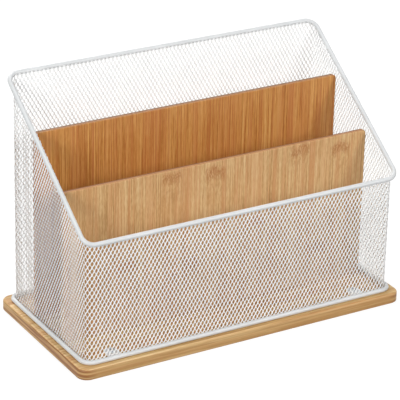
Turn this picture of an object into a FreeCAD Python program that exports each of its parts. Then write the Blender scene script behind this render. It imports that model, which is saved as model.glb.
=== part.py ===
import FreeCAD, Part
import math
import os

from FreeCAD import Placement, Rotation, Vector

# Envelope sorter: a bamboo base board, a wrapped wall of white expanded mesh held between two
# round wire loops, and two bamboo dividers that make three letter pockets.
# Millimetres. The origin is on the underside of the board, at its middle.
# +X runs to the right along the board, +Y to the tall rear wall and +Z up.

# Base board
board_width = 330.0
board_depth = 162.0
board_thickness = 10.0
board_corner_radius = 10.0
board_top_round = 2.0
board_bottom_round = 1.0
board_margin = 5.0  # from the board's edge to the outside of the bottom ring

# Wire loops
wire_diameter = 4.2
wire_bend_radius = 10.0  # of the wire's centreline
rear_rim_height = 226.4  # the rim's centreline above the underside of the board
front_rim_height = 123.3
ring_seat_gap = 0.05  # under the bottom ring, where it only touches the board

# Mesh wall, cut with a coarse grid of diamonds that stands for the fine mesh
mesh_thickness = 0.8
mesh_weld_gap = 0.05  # between the mesh and the wires it is welded to
mesh_floor_gap = 1.5  # under the mesh, where the lugs pass
mesh_border = 4.0  # left whole along the mesh's upper and lower edges
mesh_corner_border = 1.0  # left whole on each side of a round corner
opening_pitch = 26.0  # sideways, between the middles of neighbouring openings
opening_rise = 42.0  # upright, between the middles of neighbouring openings
strand_width = 5.3  # between two openings
smallest_opening = 30.0  # in square mm: a cut-off opening smaller than this stays closed

# Dividers
divider_thickness = 5.0
divider_corner_radius = 3.0
divider_edge_round = 0.6
divider_end_gap = 0.5  # between a divider's end and the mesh
rear_divider_rise = 177.8  # above the board
front_divider_rise = 142.1
front_pocket_depth = 45.3  # mesh to front divider
middle_pocket_depth = 47.1  # front divider to rear divider

# Lugs that tie the bottom ring to the board, each with a pan-head screw
lug_thickness = 1.2
lug_width = 12.0
lug_reach = 18.0  # from the inside of the wire to the lug's round end
lug_corner_distance = 30.0  # from the outside of the mesh to the middle of the lug
lug_screw_diameter = 3.0
lug_screw_head_diameter = 6.0
lug_screw_head_height = 2.0
lug_screw_bite = 6.0  # length in the board
lug_hole_clearance = 0.2

# Countersunk screws that come up through the board into the dividers
divider_screw_diameter = 2.5
divider_screw_head_diameter = 5.0
divider_screw_head_height = 1.6
divider_screw_sink = 0.3  # head below the underside of the board
divider_screw_grip = 14.0  # length in the divider
divider_screw_spacing = 115.0
divider_screw_count = 3

screw_hole_clearance = 0.05  # around a screw, in wood
pilot_end_clearance = 0.4  # below a screw's tip, in wood
screw_head_dome = 0.6  # height of the pan head's rounding
recess_width = 0.8  # of the cross in a screw head
recess_span = 0.62  # of the head's diameter
recess_depth = 0.9
cut_overrun = 1.0  # how far a cutting tool passes the face it cuts

# Derived sizes
wire_radius = wire_diameter / 2
loop_width = board_width - 2 * (board_margin + wire_radius)
loop_depth = board_depth - 2 * (board_margin + wire_radius)
ring_height = board_thickness + ring_seat_gap + wire_radius
rim_slope = math.atan2(rear_rim_height - front_rim_height, loop_depth)
rim_middle_height = (rear_rim_height + front_rim_height) / 2

mesh_inset = wire_radius + mesh_weld_gap  # from a wire's centreline to the outside of the mesh
mesh_width = loop_width - 2 * mesh_inset
mesh_depth = loop_depth - 2 * mesh_inset
mesh_corner_radius = wire_bend_radius - mesh_inset
mesh_bottom = board_thickness + mesh_floor_gap
mesh_top_slope = math.atan2(rear_rim_height - front_rim_height, mesh_depth)
corner_reach = mesh_corner_radius + mesh_corner_border
openings_bottom = mesh_bottom + mesh_border

opening_slant = math.hypot(opening_pitch, opening_rise)
opening_share = 1 - strand_width * opening_slant / (opening_pitch * opening_rise)
opening_width = opening_share * opening_pitch
opening_height = opening_share * opening_rise

inner_width = mesh_width - 2 * mesh_thickness
inner_front = -mesh_depth / 2 + mesh_thickness
divider_width = inner_width - 2 * divider_end_gap
front_divider_y = inner_front + front_pocket_depth + divider_thickness / 2
rear_divider_y = front_divider_y + middle_pocket_depth + divider_thickness

lug_x = mesh_width / 2 - lug_corner_distance
lug_hole_from_end = lug_width / 2  # the hole shares the round end's centre

X_AXIS = Vector(1, 0, 0)
Y_AXIS = Vector(0, 1, 0)
Z_AXIS = Vector(0, 0, 1)
right_angle = 90


def rounded_outline(width, depth, radius):
    """A closed wire in the XY plane: a rectangle about the origin with round corners."""
    half_w = width / 2
    half_d = depth / 2
    in_w = half_w - radius
    in_d = half_d - radius
    lean = radius * math.cos(math.radians(right_angle / 2))
    corners = [(1, -1), (1, 1), (-1, 1), (-1, -1)]
    edges = []
    for index, (sx, sy) in enumerate(corners):
        on_x_side = Vector(sx * half_w, sy * in_d, 0)
        on_y_side = Vector(sx * in_w, sy * half_d, 0)
        middle = Vector(sx * (in_w + lean), sy * (in_d + lean), 0)
        first, last = (on_y_side, on_x_side) if sx * sy < 0 else (on_x_side, on_y_side)
        edges.append(Part.Arc(first, middle, last).toShape())
        nx, ny = corners[(index + 1) % len(corners)]
        if nx == sx:
            edges.append(Part.LineSegment(last, Vector(nx * half_w, ny * in_d, 0)).toShape())
        else:
            edges.append(Part.LineSegment(last, Vector(nx * in_w, ny * half_d, 0)).toShape())
    return Part.Wire(edges)


def rounded_plate(width, depth, radius, thickness):
    """A flat plate on the XY plane with round corners."""
    return Part.Face(rounded_outline(width, depth, radius)).extrude(Z_AXIS * thickness)


def placed(shape, position, angle):
    """A copy of a shape turned about Z and moved to a place."""
    copy = shape.copy()
    copy.Placement = Placement(position, Rotation(Z_AXIS, angle))
    return copy


def edges_at_height(shape, height):
    """The edges of a shape that lie wholly at one height."""
    near = 1e-6
    return [
        edge
        for edge in shape.Edges
        if abs(edge.BoundBox.ZMin - height) < near and abs(edge.BoundBox.ZMax - height) < near
    ]


def wire_loop(width, depth):
    """Round wire bent into a rectangle about the origin, in the XY plane."""
    path = rounded_outline(width, depth, wire_bend_radius)
    section = Part.Wire(Part.makeCircle(wire_radius, Vector(0, -depth / 2, 0), X_AXIS))
    return path.makePipeShell([section], True, True)


def make_bottom_ring():
    ring = wire_loop(loop_width, loop_depth)
    ring.translate(Z_AXIS * ring_height)
    return ring


def make_top_rim():
    rim = wire_loop(loop_width, loop_depth / math.cos(rim_slope))
    tilt = Rotation(X_AXIS, math.degrees(rim_slope))
    rim.Placement = Placement(Z_AXIS * rim_middle_height, tilt)
    return rim


def above_mesh_top():
    """A block over the mesh, whose top edge meets the rim wire's middle at the front and rear."""
    size = 2 * (board_width + rear_rim_height)
    block = Part.makeBox(size, size, size, Vector(-size / 2, -size / 2, 0))
    tilt = Rotation(X_AXIS, math.degrees(mesh_top_slope))
    block.Placement = Placement(Z_AXIS * rim_middle_height, tilt)
    return block


def openings_top(y):
    """The height of the mesh's upper border at a place along its slope."""
    edge = rim_middle_height + y * math.tan(mesh_top_slope)
    return edge - mesh_border / math.cos(mesh_top_slope)


def polygon_face(corners):
    """A face in the XZ plane with straight sides."""
    points = [Vector(x, 0, z) for x, z in corners]
    return Part.Face(Part.makePolygon(points + points[:1]))


def diamond(x, z):
    """One opening of the mesh, as a face in the XZ plane."""
    half_w = opening_width / 2
    half_h = opening_height / 2
    return polygon_face([(x + half_w, z), (x, z + half_h), (x - half_w, z), (x, z - half_h)])


def opening_blocks(run, left_top, right_top, reach):
    """Staggered rows of openings in one flat stretch of wall, as blocks along +Y."""
    low = openings_bottom
    stretch = polygon_face(
        [(-run / 2, low), (run / 2, low), (run / 2, right_top), (-run / 2, left_top)]
    )
    columns = math.ceil(run / opening_pitch / 2)
    rows = math.ceil(2 * (max(left_top, right_top) - low) / opening_rise) + 1
    diamonds = [
        diamond((column + (row + 1) % 2 / 2) * opening_pitch, low + row * opening_rise / 2)
        for row in range(rows)
        for column in range(-columns - 1, columns + 1)
    ]
    openings = Part.Compound(diamonds).common(stretch).Faces
    kept = [opening for opening in openings if opening.Area > smallest_opening]
    return Part.Compound([opening.extrude(Y_AXIS * reach) for opening in kept])


def mesh_openings():
    """What is cut out of the front wall, the rear wall and both side walls."""
    front_y, rear_y = -mesh_depth / 2, mesh_depth / 2
    wide = mesh_width - 2 * corner_reach
    deep = mesh_depth - 2 * corner_reach
    wall_reach = mesh_thickness + 2 * cut_overrun
    side_reach = mesh_width + 2 * cut_overrun
    front = opening_blocks(wide, openings_top(front_y), openings_top(front_y), wall_reach)
    rear = opening_blocks(wide, openings_top(rear_y), openings_top(rear_y), wall_reach)
    sides = opening_blocks(deep, openings_top(-deep / 2), openings_top(deep / 2), side_reach)
    return [
        placed(front, Y_AXIS * (front_y - cut_overrun), 0),
        placed(rear, Y_AXIS * (rear_y + cut_overrun - wall_reach), 0),
        placed(sides, X_AXIS * (side_reach / 2), right_angle),
    ]


def make_mesh_wall():
    """The wrapped mesh as a sheet with a plain grid of diamonds, cut to the rim's slope."""
    height = rear_rim_height - mesh_bottom + wire_diameter
    outside = rounded_plate(mesh_width, mesh_depth, mesh_corner_radius, height)
    inside = rounded_plate(
        inner_width,
        mesh_depth - 2 * mesh_thickness,
        mesh_corner_radius - mesh_thickness,
        height + 2 * cut_overrun,
    )
    inside.translate(Z_AXIS * -cut_overrun)
    wall = outside.cut(inside)
    wall.translate(Z_AXIS * mesh_bottom)
    return wall.cut(above_mesh_top()).cut(mesh_openings())


def lug_places():
    """Each lug's name, its place on the ring's inside and its angle about Z."""
    reach_y = mesh_depth / 2
    sides = [("left", -1), ("right", 1)]
    rows = [("front", -1, 0), ("rear", 1, 2 * right_angle)]
    return [
        (row + "_" + side + "_lug", Vector(sx * lug_x, sy * reach_y, board_thickness), angle)
        for row, sy, angle in rows
        for side, sx in sides
    ]


def lug_hole_offset():
    """From the wire's inside to the middle of the lug's hole."""
    return Y_AXIS * (lug_reach - lug_hole_from_end)


def make_lug():
    """A flat tab along +Y with a round end and a screw hole."""
    straight = lug_reach - lug_width / 2
    tab = Part.makeBox(lug_width, straight, lug_thickness, X_AXIS * (-lug_width / 2))
    end = Part.makeCylinder(lug_width / 2, lug_thickness, Y_AXIS * straight)
    hole_radius = lug_screw_diameter / 2 + lug_hole_clearance
    hole_foot = lug_hole_offset() - Z_AXIS * cut_overrun
    hole = Part.makeCylinder(hole_radius, lug_thickness + 2 * cut_overrun, hole_foot)
    return tab.fuse(end).removeSplitter().cut(hole)


def cross_recess(head_diameter, top, direction):
    """The cross cut into a screw head whose flat end is at a height."""
    span = recess_span * head_diameter
    depth = recess_depth + cut_overrun
    low = top - recess_depth if direction > 0 else top - cut_overrun
    bar = Part.makeBox(span, recess_width, depth, Vector(-span / 2, -recess_width / 2, low))
    other = bar.copy()
    other.rotate(Vector(), Z_AXIS, right_angle)
    return bar.fuse(other)


def make_lug_screw():
    """A pan-head screw whose head sits on Z = 0 and whose shank points down."""
    shank_length = lug_thickness + lug_screw_bite
    radius = lug_screw_diameter / 2
    tip = radius
    shank = Part.makeCylinder(radius, shank_length - tip, Z_AXIS * (tip - shank_length))
    point = Part.makeCone(0, radius, tip, Z_AXIS * -shank_length)
    head = Part.makeCylinder(lug_screw_head_diameter / 2, lug_screw_head_height)
    head = head.makeFillet(screw_head_dome, edges_at_height(head, lug_screw_head_height))
    screw = head.fuse([shank, point]).removeSplitter()
    return screw.cut(cross_recess(lug_screw_head_diameter, lug_screw_head_height, 1))


def make_lug_screws():
    screw = make_lug_screw()
    copies = []
    for _, position, angle in lug_places():
        seat = Rotation(Z_AXIS, angle).multVec(lug_hole_offset()) + Z_AXIS * lug_thickness
        copies.append(placed(screw, position + seat, angle))
    return Part.Compound(copies)


def divider_screw_places():
    """The middle of each divider screw on the underside of the board."""
    first = -divider_screw_spacing * (divider_screw_count - 1) / 2
    return [
        Vector(first + index * divider_screw_spacing, y, 0)
        for y in (front_divider_y, rear_divider_y)
        for index in range(divider_screw_count)
    ]


def divider_screw_profile(clearance, sink, length):
    """A countersunk screw pointing up, or its hole when it has a clearance."""
    radius = divider_screw_diameter / 2 + clearance
    head_radius = divider_screw_head_diameter / 2 + clearance
    head_top = sink + divider_screw_head_height
    shank = Part.makeCylinder(radius, length - sink, Z_AXIS * sink)
    head = Part.makeCone(head_radius, radius, head_top - sink, Z_AXIS * sink)
    return shank.fuse(head).removeSplitter()


def make_divider_screws():
    length = board_thickness + divider_screw_grip
    screw = divider_screw_profile(0, divider_screw_sink, length)
    screw = screw.cut(cross_recess(divider_screw_head_diameter, divider_screw_sink, -1))
    return Part.Compound([placed(screw, place, 0) for place in divider_screw_places()])


def divider_screw_holes():
    length = board_thickness + divider_screw_grip + pilot_end_clearance
    hole = divider_screw_profile(screw_hole_clearance, divider_screw_sink, length)
    mouth_radius = divider_screw_head_diameter / 2 + screw_hole_clearance
    mouth = Part.makeCylinder(
        mouth_radius, divider_screw_sink + cut_overrun, Z_AXIS * -cut_overrun
    )
    hole = hole.fuse(mouth)
    return Part.Compound([placed(hole, place, 0) for place in divider_screw_places()])


def lug_screw_holes():
    depth = lug_screw_bite + pilot_end_clearance
    radius = lug_screw_diameter / 2 + screw_hole_clearance
    hole = Part.makeCylinder(radius, depth + cut_overrun, Z_AXIS * -depth)
    return Part.Compound(
        [
            placed(hole, position + Rotation(Z_AXIS, angle).multVec(lug_hole_offset()), 0)
            for _, position, angle in lug_places()
        ]
    )


def make_base_board():
    board = rounded_plate(board_width, board_depth, board_corner_radius, board_thickness)
    board = board.makeFillet(board_top_round, edges_at_height(board, board_thickness))
    board = board.makeFillet(board_bottom_round, edges_at_height(board, 0))
    return board.cut(divider_screw_holes()).cut(lug_screw_holes())


def make_divider(rise, y):
    """An upright panel on the board with rounded corners and softened edges."""
    panel = rounded_plate(divider_width, rise, divider_corner_radius, divider_thickness)
    both_faces = edges_at_height(panel, 0) + edges_at_height(panel, divider_thickness)
    panel = panel.makeFillet(divider_edge_round, both_faces)
    middle = Vector(0, y + divider_thickness / 2, board_thickness + rise / 2)
    panel.Placement = Placement(middle, Rotation(X_AXIS, right_angle))
    return panel.cut(divider_screw_holes())


def make_parts():
    parts = {
        "base_board": make_base_board(),
        "bottom_ring": make_bottom_ring(),
        "top_rim": make_top_rim(),
        "mesh_wall": make_mesh_wall(),
        "front_divider": make_divider(front_divider_rise, front_divider_y),
        "rear_divider": make_divider(rear_divider_rise, rear_divider_y),
        "lug_screws": make_lug_screws(),
        "divider_screws": make_divider_screws(),
    }
    lug = make_lug()
    for name, position, angle in lug_places():
        parts[name] = placed(lug, position, angle)
    return parts


os.makedirs("parts", exist_ok=True)
for name, shape in make_parts().items():
    shape.exportStep("parts/" + name + ".step")
    print(name, len(shape.Solids), "solid(s)", round(shape.Volume), "mm3", shape.isValid())
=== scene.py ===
import math

import bmesh
import bpy
import numpy as np
from mathutils import Matrix, Vector


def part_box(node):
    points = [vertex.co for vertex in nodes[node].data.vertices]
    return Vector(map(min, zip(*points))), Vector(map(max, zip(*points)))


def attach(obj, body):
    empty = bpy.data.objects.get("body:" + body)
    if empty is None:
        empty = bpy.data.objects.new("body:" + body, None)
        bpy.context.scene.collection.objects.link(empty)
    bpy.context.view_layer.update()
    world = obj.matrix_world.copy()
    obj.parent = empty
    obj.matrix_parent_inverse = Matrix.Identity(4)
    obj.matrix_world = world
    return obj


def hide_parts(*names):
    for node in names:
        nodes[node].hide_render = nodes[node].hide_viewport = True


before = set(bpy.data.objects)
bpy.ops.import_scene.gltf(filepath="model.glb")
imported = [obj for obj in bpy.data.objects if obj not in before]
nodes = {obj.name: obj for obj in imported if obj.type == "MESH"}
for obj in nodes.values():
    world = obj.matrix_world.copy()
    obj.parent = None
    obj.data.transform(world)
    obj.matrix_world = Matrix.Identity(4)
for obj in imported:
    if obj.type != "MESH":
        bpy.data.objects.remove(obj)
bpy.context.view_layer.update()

# Envelope sorter: the frame gives the bamboo board and dividers, the white wire loops, the lugs
# and the screws. This script finishes them and weaves the diamond mesh between the loops.

mm = 0.001
print("frame loaded:", len(nodes), "nodes")


def addObject(name, data):
    item = bpy.data.objects.new(name, data)
    bpy.context.scene.collection.objects.link(item)
    return item


def directionTo(azimuth, elevation):
    # degrees round from the front, positive towards the right end, and up from the floor
    turn, rise = math.radians(azimuth), math.radians(elevation)
    return Vector((math.sin(turn) * math.cos(rise), -math.cos(turn) * math.cos(rise), math.sin(rise)))


viewPoint = {
    "azimuth": -30.83,  # degrees, as directionTo takes them
    "elevation": 24.17,
    "roll": 1.37,
    "distance": 2004.2 * mm,
    "target": (0.0, 0.0, 90.0 * mm),
    "slideRight": -3.5 * mm,  # of the camera, across its view
    "slideUp": 12.7 * mm,
    "lens": 200.97,
    "sensor": 36.0,
    "clip": (0.05, 50.0),  # metres
}


def makeCamera():
    turn, roll = math.radians(viewPoint["azimuth"]), math.radians(viewPoint["roll"])
    back = directionTo(viewPoint["azimuth"], viewPoint["elevation"])
    level = Vector((math.cos(turn), math.sin(turn), 0))
    above = back.cross(level)
    place = Vector(viewPoint["target"]) + back * viewPoint["distance"]
    place += level * viewPoint["slideRight"] + above * viewPoint["slideUp"]
    right = level * math.cos(roll) + above * math.sin(roll)
    up = above * math.cos(roll) - level * math.sin(roll)
    lens = bpy.data.cameras.new("viewCamera")
    lens.lens = viewPoint["lens"]
    lens.sensor_width = viewPoint["sensor"]
    lens.clip_start, lens.clip_end = viewPoint["clip"]
    camera = addObject("viewCamera", lens)
    axes = Matrix((right, up, back)).transposed().to_4x4()
    camera.matrix_world = Matrix.Translation(place) @ axes
    bpy.context.scene.camera = camera


makeCamera()
print("camera set")


class Flow:
    # an output socket; maths on it adds Math nodes
    def __init__(self, paint, socket):
        self.paint = paint
        self.socket = socket

    def maths(self, operation, first, second=0.0):
        return self.paint.add("ShaderNodeMath", {"operation": operation}, {0: first, 1: second})

    def __add__(self, other):
        return self.maths("ADD", self, other)

    def __radd__(self, other):
        return self.maths("ADD", other, self)

    def __sub__(self, other):
        return self.maths("SUBTRACT", self, other)

    def __rsub__(self, other):
        return self.maths("SUBTRACT", other, self)

    def __mul__(self, other):
        return self.maths("MULTIPLY", self, other)

    def __rmul__(self, other):
        return self.maths("MULTIPLY", other, self)

    def __truediv__(self, other):
        return self.maths("DIVIDE", self, other)

    def __rtruediv__(self, other):
        return self.maths("DIVIDE", other, self)

    def __gt__(self, other):
        return self.maths("GREATER_THAN", self, other)

    def __lt__(self, other):
        return self.maths("LESS_THAN", self, other)

    def __abs__(self):
        return self.maths("ABSOLUTE", self)

    def floor(self):
        return self.maths("FLOOR", self)


class Paint:
    # the nodes of a material or a world, round its main shader
    def __init__(self, owner, shader="Principled BSDF"):
        owner.use_nodes = True
        self.owner = owner
        self.tree = owner.node_tree
        self.shader = self.tree.nodes[shader]

    def feed(self, socket, value):
        if isinstance(value, Flow):
            self.tree.links.new(value.socket, socket)
        else:
            socket.default_value = value

    def add(self, kind, settings=None, sockets=None, output=0):
        node = self.tree.nodes.new(kind)
        for name, value in (settings or {}).items():
            if name == "stops":
                self.fillRamp(node.color_ramp, value)
            else:
                setattr(node, name, value)
        for key, value in (sockets or {}).items():
            self.feed(node.inputs[key], value)
        return Flow(self, node.outputs[output])

    def fillRamp(self, ramp, stops):
        while len(ramp.elements) < len(stops):
            ramp.elements.new(1.0)
        for element, (position, colour) in zip(ramp.elements, stops):
            element.position = position
            element.color = colour

    def surface(self, **sockets):
        for name, value in sockets.items():
            self.feed(self.shader.inputs[name.replace("_", " ")], value)

    def place(self):
        return self.add("ShaderNodeTexCoord", output="Object")

    def axis(self, vector, name):
        return self.add("ShaderNodeSeparateXYZ", None, {0: vector}, name)

    def millimetres(self):
        # x, y and z
        place = self.place()
        return [self.axis(place, name) * (1 / mm) for name in "XYZ"]

    def level(self):
        # 1 on faces that look straight up or down, 0 on upright ones
        return abs(self.axis(self.add("ShaderNodeNewGeometry", output="Normal"), "Z"))

    def point(self, x, y, z):
        return self.add("ShaderNodeCombineXYZ", None, {0: x, 1: y, 2: z})

    def noise(self, vector, scale=1.0, detail=2.0, roughness=0.5):
        sockets = {"Vector": vector, "Scale": scale, "Detail": detail, "Roughness": roughness}
        return self.add("ShaderNodeTexNoise", None, sockets)

    def mix(self, share, first, second):
        return self.add("ShaderNodeMix", {"data_type": "RGBA"}, {0: share, 6: first, 7: second}, 2)

    def climb(self, value, low, high):
        # 0 up to low, 1 from high on
        return self.add("ShaderNodeMapRange", {"clamp": True}, {0: value, 1: low, 2: high})

    def bump(self, height, distance, strength):
        sockets = {"Height": height, "Distance": distance, "Strength": strength}
        return self.add("ShaderNodeBump", None, sockets)


def newPaint(name):
    return Paint(bpy.data.materials.new(name))


def colourOf(red, green, blue):
    # a screen colour of 0 to 255 as the linear one that shaders take
    return tuple((v / 255) ** 2.2 for v in (red, green, blue)) + (1.0,)


powderCoat = {
    # each coat's shade and the strength of its orange peel
    "coats": {
        # painted shade: a darker copy of the mesh's white, toning down the wires' lit tops
        "wire": ((213, 215, 216), 0.5),
        "mesh": ((240, 242, 242), 0.35),
        # painted light: a brighter, bluer copy of the mesh's white, so the lugs look lit in the shade
        # where they sit
        "lug": ((240, 246, 252), 0.5),
    },
    "patchScale": 60.0,  # per metre, of the patches where the coat runs thinner
    "patchDetail": 3.0,
    "patchEdge": (0.35, 0.65),  # of their noise, from the full coat to the thin one
    "patchDarker": 7,  # of 255
    "peelScale": 700.0,  # per metre
    "peelHeight": 0.04 * mm,
    "roughness": (0.34, 0.46),
    "ior": 1.5,
}


def makePowderCoat(coat):
    shade, peelStrength = powderCoat["coats"][coat]
    paint = newPaint(coat + "_powder_coat")
    place = paint.place()
    patch = paint.noise(place, powderCoat["patchScale"], powderCoat["patchDetail"])
    peel = paint.noise(place, powderCoat["peelScale"], detail=1.0)
    low, high = powderCoat["roughness"]
    thin = [level - powderCoat["patchDarker"] for level in shade]
    share = paint.climb(patch, *powderCoat["patchEdge"])
    paint.surface(
        Base_Color=paint.mix(share, colourOf(*shade), colourOf(*thin)),
        Roughness=low + patch * (high - low),
        Normal=paint.bump(peel, powderCoat["peelHeight"], peelStrength),
        IOR=powderCoat["ior"],
    )
    return paint.owner


bamboo = {
    # what the board and both dividers share
    "stripSeed": 0.37,  # picks the strips' tones
    "stripStep": 7.3,  # moves each strip to fibres of its own
    "fibreEdge": (0.3, 0.7),  # of the noise, from dark to light
    "streakAlong": 0.004,  # how fine the redder streaks are along the fibres, per mm
    "streakEdge": (0.45, 0.65),
    "streakSeed": 4.7,
    "seamShade": (120, 78, 44),
    "seamShare": 0.35,
    "roughness": 0.52,
    "lightGloss": 0.10,  # how much smoother the lightest fibres are
    "fibreHeight": 0.10 * mm,
    "fibreStrength": 0.5,
    "ior": 1.45,
}


def stripAt(across, look):
    # counts the strips: whole numbers lie on the glue lines
    return across / look["strip"] + look["shift"]


def bambooGrain(paint, across, along, look):
    # the tone from 0, dark, to 1, light, for places across and along the fibres in mm
    strip = stripAt(across, look).floor()
    seed = {"W": strip + bamboo["stripSeed"]}
    tone = paint.add("ShaderNodeTexWhiteNoise", {"noise_dimensions": "1D"}, seed) * look["stripWeight"]
    for fineAcross, fineAlong, weight in look["layers"]:
        spot = paint.point(across * fineAcross, along * fineAlong, strip * bamboo["stripStep"])
        fibre = paint.climb(paint.noise(spot, detail=1.0), *bamboo["fibreEdge"])
        tone = tone + fibre * weight
    return tone


def bambooColour(paint, tone, across, along, look):
    # the tone's colour, with redder streaks along the fibres
    stops = [(position, colourOf(*shade)) for position, shade in look["stops"]]
    colour = paint.add("ShaderNodeValToRGB", {"stops": stops}, {0: tone})
    for fineAcross, share, shade in look["redder"]:
        seed = fineAcross + bamboo["streakSeed"]
        spot = paint.point(across * fineAcross, along * bamboo["streakAlong"], seed)
        streak = paint.climb(paint.noise(spot), *bamboo["streakEdge"])
        colour = paint.mix(streak * share, colour, colourOf(*shade))
    return colour


def seamMask(across, look):
    # 1 in the hair-wide glue lines between strips
    strip = stripAt(across, look)
    return abs(strip - strip.floor() - 0.5) > 0.5 - look["seam"] / look["strip"]


def withSeams(paint, colour, mask):
    return paint.mix(mask * bamboo["seamShare"], colour, colourOf(*bamboo["seamShade"]))


def varnished(paint, colour, tone):
    paint.surface(
        Base_Color=colour,
        Roughness=bamboo["roughness"] - tone * bamboo["lightGloss"],
        Normal=paint.bump(tone, bamboo["fibreHeight"], bamboo["fibreStrength"]),
        IOR=bamboo["ior"],
    )
    return paint.owner


caneJoint = {
    # a joint of the cane: a ragged band of flecks across a strip, with fading ripples under it
    "wander": 7.0,  # mm that the band strays up and down
    "wanderFine": (0.16, 0.05),  # per mm, across and along
    "lean": 0.35,  # how much of that it strays sideways
    "edge": (0.75, 1.0),  # of half a strip's width, where it fades out
    "sag": 2.5,  # mm lower at the strip's edges
    "height": 7.5,  # mm to either side of its middle
    "solid": 0.4,  # of that height, at full strength
    "fleckFine": (0.95, 0.32),  # per mm, as wanderFine
    "fleckRough": 0.6,
    "fleckEdge": (0.34, 0.60),
    "fleckShare": 0.8,
    "fleckShade": (160, 100, 52),
    "rippleHeight": 34.0,  # mm that the ripples reach down
    "rippleFine": (0.42, 0.20),
    "rippleCup": 8.0,  # mm that a ripple rises towards the strip's edges
    "rippleEdge": (0.50, 0.60),
    "rippleShare": 0.75,
    "rippleShade": (174, 126, 76),
    "rippleSeed": 5,
    "seedStep": 0.1,  # per mm between joints
}


def withJoints(paint, colour, across, along, look):
    joint = caneJoint
    for x, z in look["joints"]:
        fineAcross, fineAlong = joint["wanderFine"]
        stray = paint.noise(paint.point(across * fineAcross, along * fineAlong, x))
        stray = stray * (2 * joint["wander"]) - joint["wander"]
        fromMiddle = abs(across - x + stray * joint["lean"]) / (look["strip"] / 2)
        inStrip = 1 - paint.climb(fromMiddle, *joint["edge"])
        above = along - z - stray + fromMiddle * joint["sag"]  # mm above the band's middle
        seed = x * joint["seedStep"]
        fineAcross, fineAlong = joint["fleckFine"]
        spot = paint.point(across * fineAcross, above * fineAlong, seed)
        fleck = paint.noise(spot, roughness=joint["fleckRough"])
        fleck = paint.climb(fleck, *joint["fleckEdge"])
        band = 1 - paint.climb(abs(above), joint["height"] * joint["solid"], joint["height"])
        share = inStrip * (fleck * band * joint["fleckShare"])
        colour = paint.mix(share, colour, colourOf(*joint["fleckShade"]))
        fineAcross, fineAlong = joint["rippleFine"]
        cupped = (above - fromMiddle * joint["rippleCup"]) * fineAlong
        spot = paint.point(across * fineAcross, cupped, seed + joint["rippleSeed"])
        ripple = paint.climb(paint.noise(spot), *joint["rippleEdge"])
        under = paint.climb(above, -joint["rippleHeight"], 0) * (above < 0)
        share = inStrip * (ripple * under * joint["rippleShare"])
        colour = paint.mix(share, colour, colourOf(*joint["rippleShade"]))
    return colour


frontBamboo = {
    "strip": 22.0,  # mm wide
    "shift": 0.686,  # of a strip, that the glue lines are moved
    "seam": 0.10,  # mm, half a glue line
    "stripWeight": 0.12,  # how much of the tone is the strip's own
    # each layer of fibres: how fine across and along, per mm, and its share of the tone
    "layers": [(0.055, 0.003, 0.12), (0.42, 0.010, 0.14), (0.95, 0.022, 0.40), (1.3, 0.18, 0.24)],
    "lighterRight": 0.05,  # of the tone, from the middle to the right end
    "stops": [
        (0.20, (163, 119, 72)),
        (0.40, (187, 145, 94)),
        (0.58, (202, 164, 114)),
        (0.80, (216, 185, 138)),
    ],
    # redder streaks: how fine across, per mm, their share and shade
    "redder": [(0.10, 0.30, (200, 148, 98)), (0.60, 0.60, (194, 136, 88))],
    # the cane's joints, x and z in mm
    "joints": [
        (83.9, 147.0), (127.9, 141.0), (-4.1, 142.0), (-48.1, 147.0),
        (-92.1, 71.0), (-26.1, 58.0), (39.9, 88.0), (105.9, 46.0),
    ],
    "topShade": (160, 108, 66),
    # painted shade along the far arris of the top edge
    "arrisPaintedShade": (112, 70, 36),
}

rearBamboo = {
    "strip": 6.4,
    "shift": 0.5,
    "seam": 0.10,
    "stripWeight": 0.10,
    "layers": [(0.05, 0.003, 0.12), (0.42, 0.008, 0.10), (0.95, 0.016, 0.50), (1.4, 0.14, 0.18)],
    "lighterRight": 0.02,
    "stops": [
        (0.20, (160, 97, 42)),
        (0.40, (182, 122, 60)),
        (0.58, (197, 140, 75)),
        (0.80, (212, 160, 95)),
    ],
    "redder": [(0.09, 0.25, (182, 112, 60)), (0.55, 0.55, (180, 108, 60))],
    "joints": [],
    "topShade": (150, 106, 70),
    # painted shade along the far arris of the top edge
    "arrisPaintedShade": (104, 78, 50),
}

divider = {
    "lighterOver": 150.0,  # mm from the middle, where lighterRight is reached
    # the sawn top edge, with painted shade that darkens it towards its far arris
    "topEdge": (0.6, 0.9),  # of level(), where the top begins
    "topShare": 0.7,
    "arrisEdge": (2.4, 1.6),  # mm in from the far face
    "arrisPaintedShadeShare": 0.9,
}


def makeDividerBamboo(node, look):
    paint = newPaint(node + "_bamboo")
    across, depth, along = paint.millimetres()
    tone = bambooGrain(paint, across, along, look)
    tone = tone + across * (look["lighterRight"] / divider["lighterOver"])
    colour = bambooColour(paint, tone, across, along, look)
    colour = withJoints(paint, colour, across, along, look)
    colour = withSeams(paint, colour, seamMask(across, look))
    onTop = paint.climb(paint.level(), *divider["topEdge"])
    colour = paint.mix(onTop * divider["topShare"], colour, colourOf(*look["topShade"]))
    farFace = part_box(node)[1].y / mm
    # painted shade: the top face darkens towards its far arris, where shadow falls
    arris = paint.climb(depth, *[farFace - inset for inset in divider["arrisEdge"]])
    colour = paint.mix(onTop * arris * divider["arrisPaintedShadeShare"], colour, colourOf(*look["arrisPaintedShade"]))
    return varnished(paint, colour, tone)


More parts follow.
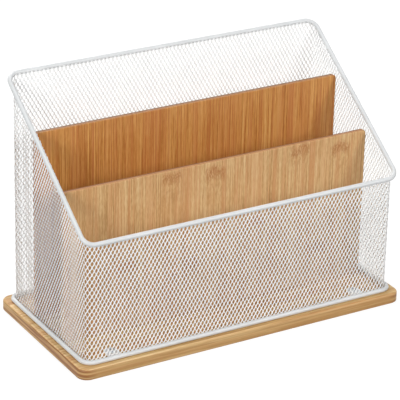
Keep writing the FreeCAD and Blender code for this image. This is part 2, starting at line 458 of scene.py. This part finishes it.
boardBamboo = {
    "strip": 22.0,
    "shift": 0.2,
    "seam": 0.12,
    "stripWeight": 0.12,
    "layers": [(0.08, 0.003, 0.16), (0.42, 0.006, 0.28), (0.95, 0.012, 0.30), (1.4, 0.08, 0.14)],
    "stops": [
        (0.20, (150, 104, 56)),
        (0.36, (182, 142, 88)),
        (0.56, (204, 170, 114)),
        (0.80, (230, 202, 152)),
    ],
    "redder": [(0.12, 0.30, (202, 142, 88)), (0.45, 0.45, (184, 118, 66))],
    # the sides are darker all over, and show the cane's layers as brown streaks, reddest at the two
    # ends
    "flatFrom": 0.75,  # of level(), above which a face counts as the top or the underside
    "sideShift": 40.0,  # mm, so that the sides get fibres of their own
    "sideShare": 0.45,
    "sideShade": (186, 147, 95),
    "streakFine": (0.014, 0.42),  # per mm, along and up
    "streakSeed": 3.3,
    "streakDetail": 3.0,
    "streakRough": 0.6,
    "streakEdge": (0.44, 0.58),
    "streakShare": 0.55,
    "streakShade": (166, 119, 66),
    "endFrom": (150, 160),  # mm from the middle
    "endShare": 0.75,
    "endShade": (132, 78, 38),
}


def makeBoardBamboo(look):
    paint = newPaint("board_bamboo")
    x, y, z = paint.millimetres()
    flat = paint.level() > look["flatFrom"]
    side = 1 - flat
    across = y * flat + (z + look["sideShift"]) * side
    along = x + y * side
    tone = bambooGrain(paint, across, along, look)
    colour = bambooColour(paint, tone, across, along, look)
    colour = withSeams(paint, colour, seamMask(y, look) * flat)
    colour = paint.mix(side * look["sideShare"], colour, colourOf(*look["sideShade"]))
    fineAlong, fineUp = look["streakFine"]
    spot = paint.point(along * fineAlong, z * fineUp, look["streakSeed"])
    spread = paint.noise(spot, detail=look["streakDetail"], roughness=look["streakRough"])
    streak = paint.climb(spread, *look["streakEdge"]) * side
    colour = paint.mix(streak * look["streakShare"], colour, colourOf(*look["streakShade"]))
    atEnd = paint.climb(abs(x), *look["endFrom"]) * streak
    colour = paint.mix(atEnd * look["endShare"], colour, colourOf(*look["endShade"]))
    return varnished(paint, colour, tone)


zinc = {
    "shade": (205, 207, 212),
    "cloudShade": (180, 182, 188),
    "cloudScale": 900.0,  # per metre
    "cloudDetail": 3.0,
    "cloudRough": 0.6,
    "roughness": (0.24, 0.42),
    "grainHeight": 0.01 * mm,
    "grainStrength": 0.3,
}


def makeZinc():
    paint = newPaint("screw_zinc")
    cloud = paint.noise(paint.place(), zinc["cloudScale"], zinc["cloudDetail"], zinc["cloudRough"])
    low, high = zinc["roughness"]
    paint.surface(
        Base_Color=paint.mix(cloud, colourOf(*zinc["shade"]), colourOf(*zinc["cloudShade"])),
        Roughness=low + cloud * (high - low),
        Metallic=1.0,
        Normal=paint.bump(cloud, zinc["grainHeight"], zinc["grainStrength"]),
    )
    return paint.owner


def dress(names, material):
    for name in names:
        node = nodes[name]
        node.data.materials.clear()
        node.data.materials.append(material)


meshCoat = makePowderCoat("mesh")
dress(["bottom_ring", "top_rim"], makePowderCoat("wire"))
dress([name for name in nodes if name.endswith("_lug")], makePowderCoat("lug"))
dress(["base_board"], makeBoardBamboo(boardBamboo))
dress(["front_divider"], makeDividerBamboo("front_divider", frontBamboo))
dress(["rear_divider"], makeDividerBamboo("rear_divider", rearBamboo))
dress(["lug_screws", "divider_screws"], makeZinc())
print("finishes made")


diamondMesh = {
    "cellWidth": 3.9 * mm,
    "cellHeight": 6.8 * mm,
    "risingWidth": 0.85 * mm,  # of the strands that rise to the right, seen from outside
    "fallingWidth": 0.49 * mm,  # of those that fall
    "strandThick": 0.45 * mm,
    "strandTilt": 33.0,  # degrees: a strand's right edge stands further out than its left one
    "edgeRound": 0.05 * mm,  # how far a strand's edges bulge
    "tipTwist": 0.4,  # how much of the tilt is left at the sharp ends of an opening
    "sheet": 0.8 * mm,  # over the tilted strands
    "cornerRadius": 7.85 * mm,  # of the sheet's outside
    "bluntShare": 0.16,  # of an opening's side, that its left or right corner cuts off
    "sharpShare": 0.26,  # the same of its top or bottom corner
    "startHeight": 1.1 * mm,  # of the first row of openings above the sheet's lower edge
    "margin": 2,  # openings woven past each cut
    "onPlane": 1e-8,  # metres from a cut at which a vertex counts as on it
    "sharpAngle": 45.0,  # degrees between faces, from where an edge shows
}


class MeshWall:
    # the sheet's middle surface, unrolled: s runs round it from the middle of the front, z up
    def __init__(self):
        low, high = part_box("mesh_wall")
        self.half = diamondMesh["sheet"] / 2  # from the middle surface to either face
        self.bottom = low.z
        self.halfWidth = high.x - self.half
        self.halfDepth = high.y - self.half
        self.radius = diamondMesh["cornerRadius"] - self.half
        self.inWidth = self.halfWidth - self.radius  # half of a straight run
        self.inDepth = self.halfDepth - self.radius
        self.arc = math.pi / 2 * self.radius
        self.length = 4 * (self.inWidth + self.inDepth + self.arc)
        self.columns = round(self.length / diamondMesh["cellWidth"])
        self.pitch = self.length / self.columns
        self.setRim()

    def setRim(self):
        # the sheet ends on the height of the rim's centreline, front and rear
        low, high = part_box("top_rim")
        ringLow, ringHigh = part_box("bottom_ring")
        wire = (ringHigh.z - ringLow.z) / 2
        frontTop = low.z + wire
        self.rearTop = high.z - wire
        self.slope = (self.rearTop - frontTop) / (2 * (self.halfDepth + self.half))
        self.middleTop = (self.rearTop + frontTop) / 2

    def topAt(self, y):
        return self.middleTop + self.slope * y

    def cornerMiddles(self):
        # s of each rounded corner, from the front right one on
        first = self.inWidth + self.arc / 2
        side = 2 * self.inDepth + self.arc
        back = 2 * self.inWidth + self.arc
        return first, first + side, first + side + back, first + 2 * side + back

    def locate(self, s):
        # places on the middle surface and its outward directions
        s = np.mod(s, self.length)
        lengths = [self.inWidth, self.arc, 2 * self.inDepth, self.arc]
        lengths += [2 * self.inWidth, self.arc, 2 * self.inDepth, self.arc, self.inWidth]
        starts = np.concatenate([[0.0], np.cumsum(lengths)])[:-1]
        part = np.clip(np.searchsorted(starts, s, side="right") - 1, 0, len(starts) - 1)
        run = s - starts[part]
        quarter = (part // 2) % 4  # front, right, rear, left, front
        turning = part % 2 == 1
        angle = (quarter - 1) * math.pi / 2 + np.where(turning, run / self.radius, 0.0)
        outX, outY = np.cos(angle), np.sin(angle)
        alongX, alongY = -outY, outX
        centreX = np.array([1, 1, -1, -1])[quarter] * self.inWidth  # of the corner that follows
        centreY = np.array([-1, 1, 1, -1])[quarter] * self.inDepth
        startX = np.array([-1, 1, 1, -1])[quarter] * self.inWidth  # of a straight run
        startY = np.array([-1, -1, 1, 1])[quarter] * self.inDepth
        startX = np.where(part == 0, 0.0, startX)
        x = np.where(turning, centreX, startX + alongX * run) + outX * self.radius
        y = np.where(turning, centreY, startY + alongY * run) + outY * self.radius
        return x, y, outX, outY


wall = MeshWall()


def strandEdge(level, signS, signZ, twist):
    # the strand on one side of an opening: how far its edge reaches from its middle line and how far
    # out it stands, at level 1, the outer face, 0, halfway through, or -1, the inner face
    width = diamondMesh["fallingWidth" if signS * signZ > 0 else "risingWidth"]
    tilt = math.radians(diamondMesh["strandTilt"])
    side = -signS  # an opening's right side is the left edge of a strand
    reach = width / 2 + (level == 0) * diamondMesh["edgeRound"]
    depth = level * diamondMesh["strandThick"] / 2
    away = reach * math.cos(tilt) - side * twist * depth * math.sin(tilt)
    return away, side * twist * reach * math.sin(tilt) + depth * math.cos(tilt)


def openingPoint(level, signS, signZ, share, twist):
    # a point on one side of an opening, at a share of the way from its left or right corner to its
    # top or bottom one: s and z from the opening's middle, and the offset from the middle surface
    half = np.array([wall.pitch, diamondMesh["cellHeight"]]) / 2
    throat = half[0] * half[1] / math.hypot(*half)  # from the middle to a strand's middle line
    here, above, beside = [
        1 - strandEdge(level, a, b, twist)[0] / throat
        for a, b in ((signS, signZ), (signS, -signZ), (-signS, signZ))
    ]
    corner = np.array([signS * (here + above), signZ * (here - above)]) / 2
    tip = np.array([signS * (here - beside), signZ * (here + beside)]) / 2
    offset = strandEdge(level, signS, signZ, twist)[1]
    return (*((corner + (tip - corner) * share) * half), offset)


def openingLoops():
    # the outer, middle and inner loop round an opening, each of eight points, anticlockwise from
    # just above its right-hand corner
    ends = ((diamondMesh["bluntShare"], 1), (1 - diamondMesh["sharpShare"], diamondMesh["tipTwist"]))
    loops = []
    for level in (1, 0, -1):
        points = []
        for signS, signZ in ((1, 1), (-1, 1), (-1, -1), (1, -1)):
            pair = [openingPoint(level, signS, signZ, share, twist) for share, twist in ends]
            points += pair if signS * signZ > 0 else pair[::-1]
        loops.append(points)
    return np.array(loops)


def latticeSpan(startS, endS):
    # the openings that cover a piece and the margin round it
    margin = diamondMesh["margin"]
    firstColumn = math.floor(startS / wall.pitch) - margin
    columns = math.ceil(endS / wall.pitch) + margin - firstColumn
    firstRow = -2 * margin
    lastRow = math.ceil((wall.rearTop - wall.bottom) / (diamondMesh["cellHeight"] / 2)) + 2 * margin
    return firstColumn, columns, firstRow, lastRow - firstRow


def latticePoints(firstColumn, columns, firstRow, rows):
    # s, z and the offset from the middle surface, for every vertex
    column, row = np.meshgrid(np.arange(columns) + firstColumn, np.arange(rows) + firstRow)
    centreS = (column + (row % 2) / 2) * wall.pitch
    centreZ = row * diamondMesh["cellHeight"] / 2 + wall.bottom + diamondMesh["startHeight"]
    loops = openingLoops()
    s = centreS[..., None, None] + loops[:, :, 0]
    z = centreZ[..., None, None] + loops[:, :, 1]
    offset = np.zeros_like(s) + loops[:, :, 2]
    return s.ravel(), z.ravel(), offset.ravel()


def latticeFaces(columns, firstRow, rows):
    # by vertex number: the four-sided faces round the openings and along the strands, and the
    # eight-sided knots where strands meet. In a loop, points 0 and 7 lie at the opening's right
    # corner, 1 and 2 at its top, 3 and 4 at its left and 5 and 6 at its bottom corner
    loops, ring = 3, 8
    here = np.arange(columns * rows).reshape(rows, columns) * loops * ring
    column, row = np.meshgrid(np.arange(columns), np.arange(rows))
    shift = (row + firstRow) % 2  # odd rows stand half an opening to the right

    def cell(stepColumn, stepRow):
        inside = (column + stepColumn < columns) & (row + stepRow >= 0) & (row + stepRow < rows)
        c = np.clip(column + stepColumn, 0, columns - 1)
        r = np.clip(row + stepRow, 0, rows - 1)
        return here[r, c], inside

    above, hasAbove = cell(shift, 1)  # up and to the right
    below, hasBelow = cell(shift, -1)  # down and to the right
    beside, hasBeside = cell(1, 0)  # the next one in the row
    whole = hasAbove & hasBelow & hasBeside
    faces, knots = [], []
    for k in range(ring):
        after = (k + 1) % ring
        for loop in (0, 1):
            near, far = here + loop * ring, here + (loop + 1) * ring
            faces.append(np.stack([near + k, near + after, far + after, far + k], -1).reshape(-1, 4))
    for loop, turned in ((0, False), (2, True)):
        up = np.stack([here, above + 5, above + 4, here + 1], -1)[hasAbove]
        down = np.stack([here + 6, below + 3, below + 2, here + 7], -1)[hasBelow]
        knot = [beside + 4, beside + 3, above + 6, above + 5, here, here + 7, below + 2, below + 1]
        knot = np.stack(knot, -1)[whole]
        for found, group in ((up, faces), (down, faces), (knot, knots)):
            group.append((found[:, ::-1] if turned else found) + loop * ring)
    return np.concatenate(faces), np.concatenate(knots)


def weave(name, startS, endS):
    # the piece's mesh before its edges are cut, with s and the offset kept for every vertex
    firstColumn, columns, firstRow, rows = latticeSpan(startS, endS)
    s, z, offset = latticePoints(firstColumn, columns, firstRow, rows)
    quads, knots = latticeFaces(columns, firstRow, rows)
    x, y, outX, outY = wall.locate(s)
    points = np.stack([x + outX * offset, y + outY * offset, z], -1)
    tooHigh = z > wall.topAt(y) + diamondMesh["cellHeight"]
    quads = quads[~tooHigh[quads].any(1)]
    knots = knots[~tooHigh[knots].any(1)]
    used, renumbered = np.unique(np.concatenate([quads.ravel(), knots.ravel()]), return_inverse=True)
    quads = renumbered[: quads.size].reshape(quads.shape)
    knots = renumbered[-knots.size:].reshape(knots.shape)
    mesh = bpy.data.meshes.new(name)
    mesh.from_pydata(points[used].tolist(), [], quads.tolist() + knots.tolist())
    for label, values in (("runLength", s), ("sheetOffset", offset)):
        layer = mesh.attributes.new(label, "FLOAT", "POINT")
        layer.data.foreach_set("value", values[used].astype(np.float32))
    return mesh


def trim(bm, place, outward):
    # cuts off what lies past a plane and closes the cut ends of the strands
    cut = bmesh.ops.bisect_plane(
        bm,
        geom=bm.verts[:] + bm.edges[:] + bm.faces[:],
        dist=diamondMesh["onPlane"],
        plane_co=place,
        plane_no=outward,
        clear_outer=True,
    )
    ends = [part for part in cut["geom_cut"] if isinstance(part, bmesh.types.BMEdge)]
    bmesh.ops.edgeloop_fill(bm, edges=ends)


def endPlane(s):
    # a place at s and the direction along the wall there
    x, y, outX, outY = (float(v) for v in wall.locate(np.array(s)))
    return Vector((x, y, 0)), Vector((-outY, outX, 0))


def cutEdges(mesh, startS, endS):
    bm = bmesh.new()
    bm.from_mesh(mesh)
    startPlace, startAlong = endPlane(startS)
    endPlace, endAlong = endPlane(endS)
    trim(bm, startPlace, -startAlong)
    trim(bm, endPlace, endAlong)
    trim(bm, Vector((0, 0, wall.bottom)), Vector((0, 0, -1)))
    trim(bm, Vector((0, 0, wall.middleTop)), Vector((0, -wall.slope, 1)))
    bmesh.ops.recalc_face_normals(bm, faces=bm.faces[:])
    bm.to_mesh(mesh)
    bm.free()


bakeMap = {
    "border": 0.02,  # of the map's side, left free
    "wideFrom": 1.4,  # times as wide as high, from where the two halves lie one above the other
}


def layOutMap(mesh, startS, endS):
    # a flat map of the wall for its finish: the outside on one half, the inside on the other
    count = len(mesh.vertices)
    s, offset, places = np.empty(count), np.empty(count), np.empty(count * 3)
    mesh.attributes["runLength"].data.foreach_get("value", s)
    mesh.attributes["sheetOffset"].data.foreach_get("value", offset)
    mesh.vertices.foreach_get("co", places)
    z = places.reshape(-1, 3)[:, 2]
    corner = np.empty(len(mesh.loops), dtype=np.int32)
    mesh.loops.foreach_get("vertex_index", corner)
    total = np.empty(len(mesh.polygons), dtype=np.int32)
    mesh.polygons.foreach_get("loop_total", total)
    face = np.repeat(np.arange(len(total)), total)
    meanOffset = np.bincount(face, offset[corner]) / total
    half = 0.5 * (meanOffset < 0)[face]  # where each corner's half of the map begins
    width, height = endS - startS, z.max() - z.min()
    free = 1 - 2 * bakeMap["border"]
    first = bakeMap["border"] + free * ((s[corner] - startS) / width)
    second = bakeMap["border"] + free * ((z[corner] - z.min()) / height)
    if width > bakeMap["wideFrom"] * height:
        second = second / 2 + half
    else:
        first = first / 2 + half
    layer = mesh.uv_layers.new(name="OFBake")
    layer.uv.foreach_set("vector", np.stack([first, second], -1).ravel().astype(np.float32))


def makeMeshPiece(name, startS, endS):
    mesh = weave(name, startS, endS)
    cutEdges(mesh, startS, endS)
    mesh.shade_smooth()
    mesh.set_sharp_from_angle(angle=math.radians(diamondMesh["sharpAngle"]))
    layOutMap(mesh, startS, endS)
    mesh.materials.append(meshCoat)
    piece = addObject(name, mesh)
    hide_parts("mesh_wall")
    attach(piece, "root")
    print(name, len(mesh.polygons), "faces")


frontRight, rearRight, rearLeft, frontLeft = wall.cornerMiddles()
makeMeshPiece("mesh_front", frontLeft - wall.length, frontRight)
makeMeshPiece("mesh_right", frontRight, rearRight)
makeMeshPiece("mesh_rear_right", rearRight, wall.length / 2)
makeMeshPiece("mesh_rear_left", wall.length / 2, rearLeft)
makeMeshPiece("mesh_left", rearLeft, frontLeft)
print("mesh woven:", wall.columns, "columns")


studio = {
    "worldLight": 0.17,  # strength as a light; seen, the world is white
    "floorHalf": 3.0,  # metres
    "floorBelow": 0.05 * mm,  # the board's underside
    "floorCuts": 4,
    "floorColour": (0.35, 0.35, 0.35, 1.0),  # for the light that it throws back
    "floorGlow": 0.82,  # what the camera sees of the floor besides its lit share
    "floorLitShare": 0.24,
    "floorFade": (1.0, 1.8),  # metres from the middle, where it turns plain white
    # where directionTo points, in degrees, and watts
    "softBoxes": {
        "leftBox": (-62, 22, 34.0),
        "rightBox": (30, 25, 25.5),
        "backBox": (180, 45, 30.0),
        "topBox": (0, 88, 9.0),
    },
    "boxDistance": 2.3,  # metres
    "boxSize": 0.9,  # metres across
    "aimHeight": 100 * mm,
}

white = (1, 1, 1, 1)


def seenRays(paint):
    # 1 for camera, mirror and see-through rays
    kinds = ("Is Camera Ray", "Is Glossy Ray", "Is Transmission Ray")
    camera, glossy, through = [paint.add("ShaderNodeLightPath", output=kind) for kind in kinds]
    settings = {"operation": "ADD", "use_clamp": True}
    return paint.add("ShaderNodeMath", settings, {0: camera + glossy, 1: through})


def makeWorld():
    world = bpy.data.worlds.new("studioWorld")
    bpy.context.scene.world = world
    paint = Paint(world, "Background")
    level = studio["worldLight"]
    paint.surface(Color=white, Strength=level + seenRays(paint) * (1 - level))


def makeFloorPaper():
    # seen, it is a white that takes a faint shadow; it lights the sorter as a plain grey
    paint = newPaint("floor_paper")
    share = studio["floorLitShare"]
    lit = paint.add("ShaderNodeBsdfDiffuse", None, {"Color": studio["floorColour"]})
    partLit = paint.add("ShaderNodeBsdfDiffuse", None, {"Color": (share, share, share, 1)})
    glow = paint.add("ShaderNodeEmission", None, {"Color": white, "Strength": studio["floorGlow"]})
    near = paint.add("ShaderNodeAddShader", None, {0: partLit, 1: glow})
    far = paint.add("ShaderNodeEmission", None, {"Color": white, "Strength": 1.0})
    fromMiddle = paint.add("ShaderNodeVectorMath", {"operation": "LENGTH"}, {0: paint.place()}, "Value")
    fade = paint.climb(fromMiddle, *studio["floorFade"])
    shown = paint.add("ShaderNodeMixShader", None, {0: fade, 1: near, 2: far})
    both = paint.add("ShaderNodeMixShader", None, {0: seenRays(paint), 1: lit, 2: shown})
    paint.feed(paint.tree.nodes["Material Output"].inputs["Surface"], both)
    return paint.owner


def makeFloor():
    half = studio["floorHalf"]
    bm = bmesh.new()
    for x, y in ((-half, -half), (half, -half), (half, half), (-half, half)):
        bm.verts.new((x, y, -studio["floorBelow"]))
    bm.faces.new(bm.verts[:])
    bmesh.ops.subdivide_edges(bm, edges=bm.edges[:], cuts=studio["floorCuts"], use_grid_fill=True)
    mesh = bpy.data.meshes.new("studio_floor")
    bm.to_mesh(mesh)
    bm.free()
    mesh.materials.append(makeFloorPaper())
    floor = addObject("studio_floor", mesh)


def makeSoftBox(name, azimuth, elevation, power):
    away = directionTo(azimuth, elevation)
    lamp = bpy.data.lights.new(name, "AREA")
    lamp.shape = "DISK"
    lamp.size = studio["boxSize"]
    lamp.energy = power
    light = addObject(name, lamp)
    light.location = away * studio["boxDistance"] + Vector((0, 0, studio["aimHeight"]))
    light.rotation_euler = away.to_track_quat("Z", "Y").to_euler()


makeWorld()
makeFloor()
for name, settings in studio["softBoxes"].items():
    makeSoftBox(name, *settings)
bpy.context.scene.view_settings.view_transform = "Standard"
print("studio set")
